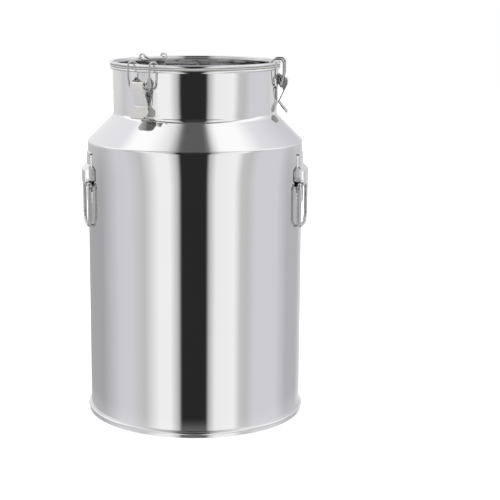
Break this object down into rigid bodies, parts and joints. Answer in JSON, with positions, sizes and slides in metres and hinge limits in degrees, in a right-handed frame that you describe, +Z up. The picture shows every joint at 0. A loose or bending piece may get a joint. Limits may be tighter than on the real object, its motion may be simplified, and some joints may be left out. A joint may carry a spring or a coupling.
{
  "type": "milk can",
  "caption": "Cylindrical steel can for liquids with a conical shoulder, a short neck, a dished sealed lid held by over-centre latches, and folding side rings.",
  "frame": {"origin": "centre of the foot ring on the surface that the can stands on", "axes": "+Z up the can's axis, -Y towards the front, midway between the two side rings, +X to the right"},
  "size_m": [0.3432, 0.333, 0.5415],
  "materials": {
    "polished_steel": "mirror-polished stainless steel",
    "pressed_steel": "bright pressed stainless sheet",
    "satin_steel": "satin pressed stainless sheet",
    "steel_rod": "polished stainless rod and wire",
    "gasket": "matt white silicone rubber"
  },
  "bodies": {
    "can": {"foot_ring": "polished_steel", "base_pan": "polished_steel", "body_shell": "polished_steel", "shoulder_cone": "polished_steel", "neck": "polished_steel", "latch_base_front": "pressed_steel", "latch_base_right": "pressed_steel", "latch_base_rear": "pressed_steel", "latch_pin_front": "steel_rod", "latch_pin_right": "steel_rod", "latch_pin_rear": "steel_rod", "handle_clip_right": "pressed_steel", "handle_clip_left": "pressed_steel"},
    "lid": {"lid_pan": "polished_steel", "lid_gasket": "gasket", "lid_handle_clip": "pressed_steel"},
    "lid_handle": {"lid_handle_ring": "steel_rod"},
    "lever_front": {"latch_lever_front": "satin_steel"},
    "bail_front": {"latch_bail_front": "steel_rod"},
    "lever_right": {"latch_lever_right": "satin_steel"},
    "bail_right": {"latch_bail_right": "steel_rod"},
    "lever_rear": {"latch_lever_rear": "satin_steel"},
    "bail_rear": {"latch_bail_rear": "steel_rod"},
    "ring_right": {"handle_ring_right": "steel_rod"},
    "ring_left": {"handle_ring_left": "steel_rod"}
  },
  "joints": [
    {"name": "lid_lift", "type": "slide", "parent": "can", "child": "lid", "axis": [0, 0, 1], "range_m": [0, 0.21]},
    {"name": "lid_handle_fold", "type": "hinge", "parent": "lid", "child": "lid_handle", "pos_m": [0, 0, 0.5184], "axis": [0, -1, 0], "range_deg": [0, 180]},
    {"name": "latch_lever_front_swing", "type": "hinge", "parent": "can", "child": "lever_front", "pos_m": [-0.07567, -0.10608, 0.5095], "axis": [-0.8141, 0.5807, 0], "range_deg": [0, 108]},
    {"name": "latch_bail_front_swing", "type": "hinge", "parent": "lever_front", "child": "bail_front", "pos_m": [-0.07542, -0.10574, 0.50151], "axis": [-0.8141, 0.5807, 0], "range_deg": [-126, 0]},
    {"name": "latch_lever_right_swing", "type": "hinge", "parent": "can", "child": "lever_right", "pos_m": [0.1297, -0.01249, 0.5095], "axis": [-0.0958, -0.9954, 0], "range_deg": [0, 108]},
    {"name": "latch_bail_right_swing", "type": "hinge", "parent": "lever_right", "child": "bail_right", "pos_m": [0.12928, -0.01245, 0.50151], "axis": [-0.0958, -0.9954, 0], "range_deg": [-126, 0]},
    {"name": "latch_lever_rear_swing", "type": "hinge", "parent": "can", "child": "lever_rear", "pos_m": [-0.07192, 0.10866, 0.5095], "axis": [0.8339, 0.5519, 0], "range_deg": [0, 108]},
    {"name": "latch_bail_rear_swing", "type": "hinge", "parent": "lever_rear", "child": "bail_rear", "pos_m": [-0.07169, 0.10831, 0.50151], "axis": [0.8339, 0.5519, 0], "range_deg": [-126, 0]},
    {"name": "handle_ring_right_swing", "type": "hinge", "parent": "can", "child": "ring_right", "pos_m": [0.16177, -0.03586, 0.3592], "axis": [-0.2164, -0.9763, 0], "range_deg": [0, 180]},
    {"name": "handle_ring_left_swing", "type": "hinge", "parent": "can", "child": "ring_left", "pos_m": [-0.16177, -0.03586, 0.3592], "axis": [-0.2164, 0.9763, 0], "range_deg": [0, 180]}
  ],
  "couplings": [
    {"joint": "latch_bail_front_swing", "follows": "latch_lever_front_swing", "ratio": -1.16},
    {"joint": "latch_bail_right_swing", "follows": "latch_lever_right_swing", "ratio": -1.16},
    {"joint": "latch_bail_rear_swing", "follows": "latch_lever_rear_swing", "ratio": -1.16}
  ]
}
